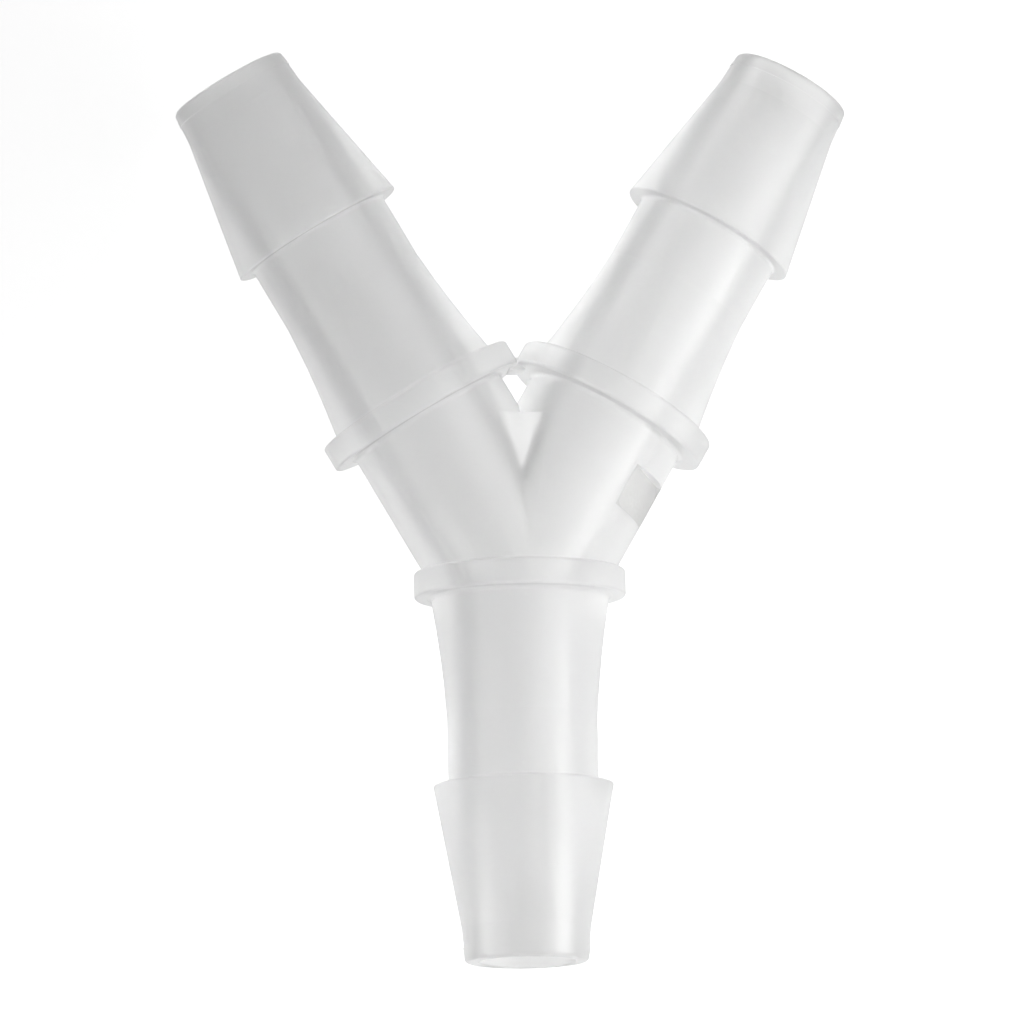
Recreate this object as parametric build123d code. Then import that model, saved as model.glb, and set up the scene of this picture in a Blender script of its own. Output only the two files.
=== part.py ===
from build123d import *

import os
from math import cos, radians, sin

# Y connector for flexible tubing: three hose barbs on a forked body, moulded as one piece.
# The part lies flat as it rests, on the rims of its three collars. +Y points between the arms,
# the stem points to -Y, and z = 0 is the surface that carries it. Millimetres and degrees.

# ---- Driving dimensions -------------------------------------------------------------------

# Fork
arm_spread = 60.0             # between the two arm axes, degrees
body_diameter = 11.2          # plain cylinders that join the arm collars to the junction
arm_collar_start = 11.9       # junction to the near face of an arm's collar
stem_collar_start = 0.1       # junction to the near face of the stem's collar

# Bore, one along each leg, meeting at the junction
bore_diameter = 6.3
bore_edge_round = 0.15

# Collar, the stop that a hose is pushed up to
collar_diameter = 14.1
collar_thickness = 1.75
collar_edge_round = 0.2
collar_root_round = 0.3
collar_foot = 0.5             # stretch of the body's wall that each leg takes in below its collar

# Neck, which flares out towards the collar
neck_diameter = 10.0
flare_diameter = 11.9         # where the flare meets the collar
flare_length = 8.0
flare_bow = 0.12              # how far the flare's arc lies inside a straight taper

# Barb, from its shoulder to the mouth of the bore
shoulder_start = 12.5         # collar's far face to the barb's shoulder
shoulder_diameter = 12.0
shoulder_edge_round = 0.12
shoulder_root_round = 0.2
leg_length = 24.35            # collar's far face to the mouth
lead_diameter = 8.56          # where the barb's cone gives way to the gentler lead-in
lead_length = 2.3
mouth_diameter = 8.2
mouth_edge_round = 0.3
witness_step = 0.05           # ridge where the core slide meets the two mould halves
witness_setback = 1.0         # from the mouth to that ridge

# Fillet in the valley between the arms, cut off square before the crotch
valley_round = 3.0
valley_start = 0.9            # from the junction, along +Y
valley_setback = 1.15         # from the fillet's square end to the crotch

# Small web that joins the two arm collars where their rims meet
web_depth = 0.85              # along +Y
web_setback = 0.5             # of its near face, below the collars' near edges
web_bite = 0.5                # how far it runs past the rims on each side
web_height = 2.2

# Flat on the right arm, sunk into the wall where the gate was trimmed off
flat_length = 3.1
flat_width = 5.0
flat_centre = 7.8             # from the junction, along the arm
flat_sink = 0.62              # middle of the flat, below the crown of the wall
flat_turn = 62.0              # of the flat from straight up towards the arm's outer side
flat_lean = 3.5               # of the flat, which rises towards the junction
flat_corner_round = 0.8
cut_height = 2.0              # of the cut's block, from the flat out past the wall

# ---- Sizes that follow --------------------------------------------------------------------

arm_angle = arm_spread / 2
across = sin(radians(arm_angle))
along = cos(radians(arm_angle))
body_radius = body_diameter / 2
collar_radius = collar_diameter / 2
mouth_radius = mouth_diameter / 2
leg_reach = collar_thickness + leg_length
arm_reach = arm_collar_start + leg_reach
stem_reach = stem_collar_start + leg_reach

# The origin lies under the middle of the part's length, on the surface that carries it.
arms_top = (arm_reach - mouth_edge_round) * along
arms_top += (mouth_radius - mouth_edge_round) * across + mouth_edge_round
junction_place = Pos(0, (stem_reach - arms_top) / 2, collar_radius)

# A leg's frame has its Z along the leg and its Y straight down.
left_arm = junction_place * Rot(0, 0, arm_angle) * Rot(-90, 0, 0)
right_arm = junction_place * Rot(0, 0, -arm_angle) * Rot(-90, 0, 0)
stem = junction_place * Rot(0, 0, 180) * Rot(-90, 0, 0)

FROM_START = (Align.CENTER, Align.CENTER, Align.MIN)
ON_MID_PLANE = 0.01           # an edge whose middle is this near to X = 0 lies there


def rounded(face, radius, *corners):
    """Round the corners of an outline that lie nearest to the given points."""
    picked = [face.vertices().sort_by_distance(corner)[0] for corner in corners]
    return fillet(picked, radius)


def root_fillet(radius, diameter_step, edge_round):
    """The fillet at the foot of a step, limited to half of the wall that the edge round leaves."""
    wall = diameter_step / 2 - edge_round
    return min(radius, wall / 2)


def leg_outline():
    """Half section of a leg: radius along X, distance from the collar's near face along Z."""
    shoulder = collar_thickness + shoulder_start
    witness = leg_reach - witness_setback
    slope = (lead_diameter - mouth_diameter) / 2 / lead_length
    witness_radius = mouth_radius + slope * witness_setback
    near_fillet = root_fillet(collar_root_round, collar_diameter - body_diameter, collar_edge_round)
    collar_fillet = root_fillet(collar_root_round, collar_diameter - flare_diameter, collar_edge_round)
    shoulder_fillet = root_fillet(shoulder_root_round, shoulder_diameter - neck_diameter, shoulder_edge_round)

    foot = (0, -collar_foot)
    body_end = (body_radius, -collar_foot)
    collar_root = (body_radius, 0)
    collar_near = (collar_radius, 0)
    collar_far = (collar_radius, collar_thickness)
    flare_start = (flare_diameter / 2, collar_thickness)
    flare_end = (neck_diameter / 2, collar_thickness + flare_length)
    shoulder_root = (neck_diameter / 2, shoulder)
    shoulder_edge = (shoulder_diameter / 2, shoulder)
    lead_start = (lead_diameter / 2, leg_reach - lead_length)
    witness_root = (witness_radius, witness)
    witness_edge = (witness_radius + witness_step, witness)
    mouth_edge = (mouth_radius, leg_reach)
    mouth_centre = (0, leg_reach)

    outline = Polyline(foot, body_end, collar_root, collar_near, collar_far, flare_start)
    outline += SagittaArc(flare_start, flare_end, flare_bow)
    outline += Polyline(flare_end, shoulder_root, shoulder_edge, lead_start, witness_root)
    outline += Polyline(witness_root, witness_edge, mouth_edge, mouth_centre, foot)
    face = make_face(outline)
    face = rounded(face, collar_edge_round, collar_near, collar_far)
    face = rounded(face, near_fillet, collar_root)
    face = rounded(face, collar_fillet, flare_start)
    face = rounded(face, shoulder_fillet, shoulder_root)
    face = rounded(face, shoulder_edge_round, shoulder_edge)
    return rounded(face, mouth_edge_round, mouth_edge)


def leg(frame, collar_start):
    """One barbed leg with its collar, still without its bore."""
    upright = Plane.XZ * leg_outline()
    return frame * Pos(0, 0, collar_start) * revolve(upright, Axis.Z)


def body(frame, collar_start):
    """The plain cylinder from the junction to a collar."""
    return frame * Cylinder(body_radius, collar_start, align=FROM_START)


def bore(frame, reach):
    """The hole along one leg, from the junction out through the mouth, whose edge is rounded."""
    radius = bore_diameter / 2
    wall_end = (radius, reach - bore_edge_round)
    mouth_edge = (radius + bore_edge_round, reach)
    outline = Polyline((0, 0), (radius, 0), wall_end)
    outline += RadiusArc(wall_end, mouth_edge, bore_edge_round)
    outline += Polyline(mouth_edge, (0, reach), (0, 0))
    return frame * revolve(Plane.XZ * make_face(outline), Axis.Z)


def valley_fillets(arms):
    """Fillets in the two valleys between the arm cylinders, above and below."""
    crotch = body_radius / across
    span = crotch - valley_setback - valley_start
    reach = 2 * body_diameter
    window = Box(reach, span, reach, align=(Align.CENTER, Align.MIN, Align.CENTER))
    slab = arms & (junction_place * Pos(0, valley_start, 0) * window)
    seams = [edge for edge in slab.edges() if edge.length > span / 2]
    valleys = [edge for edge in seams if abs(edge.center().X) < ON_MID_PLANE]
    return fillet(valleys, valley_round)


def collar_web():
    """The small web between the rims of the two arm collars."""
    near_edge = arm_collar_start * along + collar_radius * across
    rim_gap = max(0, 2 * (arm_collar_start * across - collar_radius * along))
    width = rim_gap + 2 * web_bite
    block = Box(width, web_depth, web_height, align=(Align.CENTER, Align.MIN, Align.CENTER))
    return junction_place * Pos(0, near_edge - web_setback, 0) * block


def gate_flat():
    """The cut that leaves the gate's flat, on the right arm's upper outer side."""
    block = Box(flat_width, cut_height, flat_length, align=(Align.CENTER, Align.MAX, Align.CENTER))
    block = fillet(block.edges().filter_by(Axis.Y), flat_corner_round)
    facing = right_arm * Pos(0, 0, flat_centre) * Rot(0, 0, flat_turn)
    return facing * Pos(0, flat_sink - body_radius, 0) * Rot(-flat_lean, 0, 0) * block


def y_connector():
    """The whole connector."""
    arms = body(left_arm, arm_collar_start) + body(right_arm, arm_collar_start)
    solid = arms + valley_fillets(arms) + body(stem, stem_collar_start)
    solid += leg(left_arm, arm_collar_start) + leg(right_arm, arm_collar_start)
    solid += leg(stem, stem_collar_start)
    solid += collar_web()
    solid -= gate_flat()
    solid -= bore(left_arm, arm_reach) + bore(right_arm, arm_reach) + bore(stem, stem_reach)
    return solid


os.makedirs("parts", exist_ok=True)
export_step(y_connector(), "parts/y_connector_body.step")
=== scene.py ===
from math import cos, radians, sin

import bpy
from mathutils import Matrix, Vector


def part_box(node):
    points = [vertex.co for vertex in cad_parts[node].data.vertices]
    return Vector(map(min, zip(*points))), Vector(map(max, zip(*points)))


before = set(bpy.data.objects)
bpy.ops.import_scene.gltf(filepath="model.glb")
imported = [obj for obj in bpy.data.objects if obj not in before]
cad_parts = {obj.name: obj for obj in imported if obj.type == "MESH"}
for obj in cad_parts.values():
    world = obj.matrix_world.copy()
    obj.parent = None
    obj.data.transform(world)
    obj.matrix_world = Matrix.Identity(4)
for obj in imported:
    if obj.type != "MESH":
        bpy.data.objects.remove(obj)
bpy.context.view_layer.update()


# ---- The connector ------------------------------------------------------------------------
# One injection-moulded piece of unpigmented polypropylene: a forked body with a barbed leg at
# each of its three ends. Two mould halves close on the plane of the legs' axes, and three core
# slides leave the bores. It lies flat on the rims of its collars.

MM = 0.001                      # metres in a millimetre

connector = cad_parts["y_connector_body"]
lowest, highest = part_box("y_connector_body")

stem_reach = 26.20 * MM         # junction of the axes to the stem's mouth
arm_angle = radians(30)         # of an arm from the stem's line
axis_height = (lowest[2] + highest[2]) / 2
junction = Vector(((lowest[0] + highest[0]) / 2, lowest[1] + stem_reach, axis_height))

# The gate was trimmed off on the right arm, which leaves a small sunk flat.
flat_centre = 7.8 * MM          # from the junction, along the arm
flat_half_length = 1.53 * MM
flat_half_width = 2.48 * MM
flat_floor = 4.70 * MM          # a little less than the flat's distance from the arm's axis
flat_turn = radians(62)         # of the flat, from straight up towards the arm's outer side
along_arm = Vector((sin(arm_angle), cos(arm_angle), 0))
outwards = Vector((cos(arm_angle), -sin(arm_angle), 0))
upwards = Vector((0, 0, 1))
flat_facing = upwards * cos(flat_turn) + outwards * sin(flat_turn)
across_flat = outwards * cos(flat_turn) - upwards * sin(flat_turn)


def linear(hex_colour):
    """An sRGB hex colour as the linear RGBA that a shader takes."""
    channels = [int(hex_colour[i:i + 2], 16) / 255 for i in (1, 3, 5)]
    toned = [c / 12.92 if c <= 0.04045 else ((c + 0.055) / 1.055) ** 2.4 for c in channels]
    return (*toned, 1.0)


def new_material(name):
    """A material with an empty node tree."""
    material = bpy.data.materials.new(name)
    material.use_nodes = True
    material.node_tree.nodes.clear()
    return material, material.node_tree


def add(tree, kind, settings=(), inputs=(), links=()):
    """Add a node with its settings, the values of its inputs, and the outputs linked into it."""
    node = tree.nodes.new(kind)
    for name, value in dict(settings).items():
        setattr(node, name, value)
    for name, value in dict(inputs).items():
        node.inputs[name].default_value = value
    for name, output in dict(links).items():
        tree.links.new(output, node.inputs[name])
    return node


def trimmed_flat(tree, place):
    """1 on the flat that the gate left, 0 on the rest of the plastic."""
    from_junction = add(tree, "ShaderNodeVectorMath", {"operation": "SUBTRACT"},
                        {1: junction}, {0: place}).outputs["Vector"]
    measured = []
    for direction in (along_arm, across_flat, flat_facing):
        dot = add(tree, "ShaderNodeVectorMath", {"operation": "DOT_PRODUCT"},
                  {1: direction}, {0: from_junction})
        measured.append(dot.outputs["Value"])
    on_length = add(tree, "ShaderNodeMath", {"operation": "COMPARE"},
                    {1: flat_centre, 2: flat_half_length}, {0: measured[0]})
    on_width = add(tree, "ShaderNodeMath", {"operation": "COMPARE"},
                   {1: 0.0, 2: flat_half_width}, {0: measured[1]})
    on_outside = add(tree, "ShaderNodeMath", {"operation": "GREATER_THAN"},
                     {1: flat_floor}, {0: measured[2]})
    in_outline = add(tree, "ShaderNodeMath", {"operation": "MULTIPLY"}, (),
                     {0: on_length.outputs[0], 1: on_width.outputs[0]})
    mask = add(tree, "ShaderNodeMath", {"operation": "MULTIPLY"}, (),
               {0: in_outline.outputs[0], 1: on_outside.outputs[0]})
    return mask.outputs[0]


def moulded_natural_polypropylene():
    """Milky, because the crystals in the plastic scatter light within a few millimetres.

    Spark-eroded mould steel leaves a soft satin on the skin, so lamps show as broad bright
    stripes with soft edges. The trimmed flat is duller than the skin, and its colour is
    painted greyer, as painted shade that keeps it darker than the lit skin around it.
    """
    thin_milk = "#f7f7f6"
    dense_milk = "#fefefe"
    # painted shade: the grey that the trimmed flat is painted, so it looks less lit than the skin
    flat_painted_shade = "#e2e2e0"
    cloud_size = 5.0 * MM           # faint clouds and shallow waves where the plastic shrank unevenly
    wave_depth = 0.010 * MM
    skin_grain = 0.30 * MM          # the real grain is nearer 0.05 mm, which no view would show
    skin_depth = 0.0015 * MM
    trimmed_depth = 0.012 * MM      # that the same grain has more of on the trimmed flat
    parting_half_width = 0.07 * MM  # the raised line where the two mould halves meet
    parting_height = 0.02 * MM
    skin_satin = {"To Min": 0.30, "To Max": 0.38}
    trimmed_dullness = 0.60
    scatter_length = 8.0 * MM       # how far light wanders inside the plastic
    clear_share = 0.6               # of the light that enters, the part that isn't turned to milk
    lamp_light_through = "#ececec"  # each face of the plastic lets most of a lamp's light by
    room_light_through = 0.80       # share of light scattered once that a face lets by, and all of
                                    # the light scattered twice or more

    material, tree = new_material("moulded_natural_polypropylene")
    place = add(tree, "ShaderNodeTexCoord").outputs["Object"]
    flat = trimmed_flat(tree, place)
    clouds = add(tree, "ShaderNodeTexNoise", (), {"Scale": 1 / cloud_size, "Detail": 1.0},
                 {"Vector": place}).outputs["Fac"]
    grain = add(tree, "ShaderNodeTexNoise", (), {"Scale": 1 / skin_grain, "Detail": 0.0},
                {"Vector": place}).outputs["Fac"]

    milk = add(tree, "ShaderNodeMix", {"data_type": "RGBA"},
               {"A": linear(thin_milk), "B": linear(dense_milk)}, {"Factor": clouds})
    # Painted shade: the trimmed flat is painted greyer than the milk around it, so it stays darker than the
    # lit skin.
    colour = add(tree, "ShaderNodeMix", {"data_type": "RGBA"}, {"B": linear(flat_painted_shade)},
                 {"Factor": flat, "A": milk.outputs["Result"]})
    satin = add(tree, "ShaderNodeMapRange", (), skin_satin, {"Value": clouds})
    roughness = add(tree, "ShaderNodeMix", (), {"B": trimmed_dullness},
                    {"Factor": flat, "A": satin.outputs["Result"]})

    height = add(tree, "ShaderNodeSeparateXYZ", (), (), {"Vector": place}).outputs["Z"]
    from_parting = add(tree, "ShaderNodeMath", {"operation": "SUBTRACT"}, {1: axis_height}, {0: height})
    off_parting = add(tree, "ShaderNodeMath", {"operation": "ABSOLUTE"}, (), {0: from_parting.outputs[0]})
    ridge = add(tree, "ShaderNodeMapRange", (),
                {"From Max": parting_half_width, "To Min": parting_height, "To Max": 0.0},
                {"Value": off_parting.outputs[0]})
    waves = add(tree, "ShaderNodeMath", {"operation": "MULTIPLY_ADD"}, {1: wave_depth},
                {0: clouds, 2: ridge.outputs["Result"]})
    grain_depth = add(tree, "ShaderNodeMath", {"operation": "MULTIPLY_ADD"},
                      {1: trimmed_depth, 2: skin_depth}, {0: flat})
    relief = add(tree, "ShaderNodeMath", {"operation": "MULTIPLY_ADD"}, (),
                 {0: grain, 1: grain_depth.outputs[0], 2: waves.outputs[0]})
    skin = add(tree, "ShaderNodeBump", (), {"Distance": 1.0}, {"Height": relief.outputs[0]})

    plastic = add(tree, "ShaderNodeBsdfPrincipled", {"subsurface_method": "RANDOM_WALK"}, {
        "IOR": 1.49,
        "Transmission Weight": clear_share,
        "Subsurface Weight": 1.0,
        "Subsurface Radius": (1.0, 1.0, 1.0),
        "Subsurface Scale": scatter_length,
    }, {
        "Base Color": colour.outputs["Result"],
        "Roughness": roughness.outputs["Result"],
        "Normal": skin.outputs["Normal"],
    })

    # Light that comes through the walls reaches the bore and the table below.
    path = add(tree, "ShaderNodeLightPath")
    clear = add(tree, "ShaderNodeBsdfTransparent", (), {"Color": linear(dense_milk)})
    from_room = add(tree, "ShaderNodeMath", {"operation": "MULTIPLY"}, {1: room_light_through},
                    {0: path.outputs["Diffuse Depth"]})
    milky = add(tree, "ShaderNodeMixShader", (), (),
                {0: from_room.outputs[0], 1: plastic.outputs[0], 2: clear.outputs[0]})
    lamp_light = add(tree, "ShaderNodeBsdfTransparent", (), {"Color": linear(lamp_light_through)})
    wall = add(tree, "ShaderNodeMixShader", (), (),
               {0: path.outputs["Is Shadow Ray"], 1: milky.outputs[0], 2: lamp_light.outputs[0]})
    add(tree, "ShaderNodeOutputMaterial", (), (), {"Surface": wall.outputs[0]})
    return material


connector.data.materials.clear()
connector.data.materials.append(moulded_natural_polypropylene())


# ---- Floor --------------------------------------------------------------------------------
# A plain white table top that the connector lies on, far wider than the view. It isn't part of
# the connector.

floor_half_width = 1.5          # metres
table_lift = 0.60               # light added to the lit paint, up to plain white
corners = [(x * floor_half_width, y * floor_half_width, 0)
           for x, y in ((-1, -1), (1, -1), (1, 1), (-1, 1))]
floor_mesh = bpy.data.meshes.new("white_floor")
floor_mesh.from_pydata(corners, [], [(0, 1, 2, 3)])
floor = bpy.data.objects.new("white_floor", floor_mesh)
bpy.context.collection.objects.link(floor)


def looked_at(tree):
    """1 for a ray from the lens, straight or by way of a gloss or a clear wall, and 0 for the rest."""
    path = add(tree, "ShaderNodeLightPath")
    straight = add(tree, "ShaderNodeMath", {"operation": "MAXIMUM"}, (),
                   {0: path.outputs["Is Camera Ray"], 1: path.outputs["Is Glossy Ray"]})
    seen = add(tree, "ShaderNodeMath", {"operation": "MAXIMUM"}, (),
               {0: straight.outputs[0], 1: path.outputs["Is Transmission Ray"]})
    return seen.outputs[0]


def matt_white_table():
    """Matt white paint that takes the shadow, lifted to plain white where it is looked at."""
    material, tree = new_material("matt_white_table")
    paint = add(tree, "ShaderNodeBsdfDiffuse", (), {"Color": linear("#f2f2f2")})
    lift = add(tree, "ShaderNodeMath", {"operation": "MULTIPLY"}, {1: table_lift}, {0: looked_at(tree)})
    plain = add(tree, "ShaderNodeEmission", (), {"Color": linear("#ffffff")}, {"Strength": lift.outputs[0]})
    table = add(tree, "ShaderNodeAddShader", (), (), {0: paint.outputs[0], 1: plain.outputs[0]})
    add(tree, "ShaderNodeOutputMaterial", (), (), {"Surface": table.outputs[0]})
    return material


floor_mesh.materials.append(matt_white_table())


# ---- Light --------------------------------------------------------------------------------
# A white tent that is brighter round its sides than at its top, so each leg is lighter along
# its edges. One softbox close to the right arm gives the long soft highlight, and weaker ones
# fill from above, behind and the left.

# What the lamps face, by its distance from the junction along a leg
along_stem = Vector((0, -1, 0))
fork = junction + along_arm * 10.0 * MM
right_arm_middle = junction + along_arm * 20.0 * MM
stem_middle = junction + along_stem * 13.0 * MM


def softbox(name, target, azimuth, elevation, distance, size, power):
    """A rectangular area lamp that faces a target on the connector, in degrees, metres and watts."""
    lamp = bpy.data.lights.new(name, "AREA")
    lamp.shape = "RECTANGLE"
    lamp.size, lamp.size_y = size
    lamp.energy = power
    holder = bpy.data.objects.new(name, lamp)
    away = Vector((cos(radians(azimuth)) * cos(radians(elevation)),
                   sin(radians(azimuth)) * cos(radians(elevation)), sin(radians(elevation))))
    holder.location = target + away * distance
    holder.rotation_euler = away.to_track_quat("Z", "Y").to_euler()
    bpy.context.collection.objects.link(holder)


softbox("key_softbox", fork, azimuth=-30, elevation=24,
        distance=0.085, size=(0.08, 0.05), power=0.044)
softbox("fill_softbox", right_arm_middle, azimuth=5, elevation=58,
        distance=0.060, size=(0.05, 0.05), power=0.007)
softbox("top_softbox", right_arm_middle, azimuth=0, elevation=80,
        distance=0.080, size=(0.06, 0.06), power=0.009)
softbox("back_softbox", junction, azimuth=120, elevation=10,
        distance=0.140, size=(0.06, 0.06), power=0.028)
softbox("left_softbox", stem_middle, azimuth=208, elevation=8,
        distance=0.065, size=(0.04, 0.04), power=0.015)


def white_tent():
    """White cloth, dim straight above and brighter towards the table, and plain white where it shows."""
    side_strength = 0.46
    top_strength = 0.0

    world = bpy.data.worlds.new("white_tent")
    world.use_nodes = True
    tree = world.node_tree
    tree.nodes.clear()
    direction = add(tree, "ShaderNodeTexCoord").outputs["Generated"]
    rise = add(tree, "ShaderNodeSeparateXYZ", (), (), {"Vector": direction}).outputs["Z"]
    glow = add(tree, "ShaderNodeMapRange", (), {"To Min": side_strength, "To Max": top_strength},
               {"Value": rise})
    strength = add(tree, "ShaderNodeMath", {"operation": "MAXIMUM"}, (),
                   {0: glow.outputs["Result"], 1: looked_at(tree)})
    cloth = add(tree, "ShaderNodeBackground", (), {"Color": linear("#ffffff")},
                {"Strength": strength.outputs[0]})
    add(tree, "ShaderNodeOutputWorld", (), (), {"Surface": cloth.outputs[0]})
    return world


bpy.context.scene.world = white_tent()


# ---- Camera -------------------------------------------------------------------------------
# A long lens almost straight above, a little towards the stem and the left arm, and turned by
# about a degree about its own line of sight.

picture_width_px = 1024
focal_px = 12025                # focal length, in pixels of that picture
sensor_width = 36.0             # millimetres, as lens lengths are
camera_distance = 0.800
far_limit = 10.0                # farthest that the lens sees, past the floor's corners
aim = Vector((-0.43, -0.40, 7.05)) * MM
towards_camera = Vector((-0.11, -0.15, 0.9825)).normalized()
roll = radians(-1.105)

right = Vector((0, 1, 0)).cross(towards_camera).normalized()
up = towards_camera.cross(right)
rolled_right = right * cos(roll) + up * sin(roll)
rolled_up = up * cos(roll) - right * sin(roll)

lens = bpy.data.cameras.new("camera")
lens.sensor_width = sensor_width
lens.lens = focal_px / picture_width_px * sensor_width
lens.clip_end = far_limit
camera = bpy.data.objects.new("camera", lens)
turn = Matrix((rolled_right, rolled_up, towards_camera)).transposed()
camera.matrix_world = Matrix.Translation(aim + towards_camera * camera_distance) @ turn.to_4x4()
bpy.context.collection.objects.link(camera)
bpy.context.scene.camera = camera

bpy.context.scene.view_settings.view_transform = "Standard"
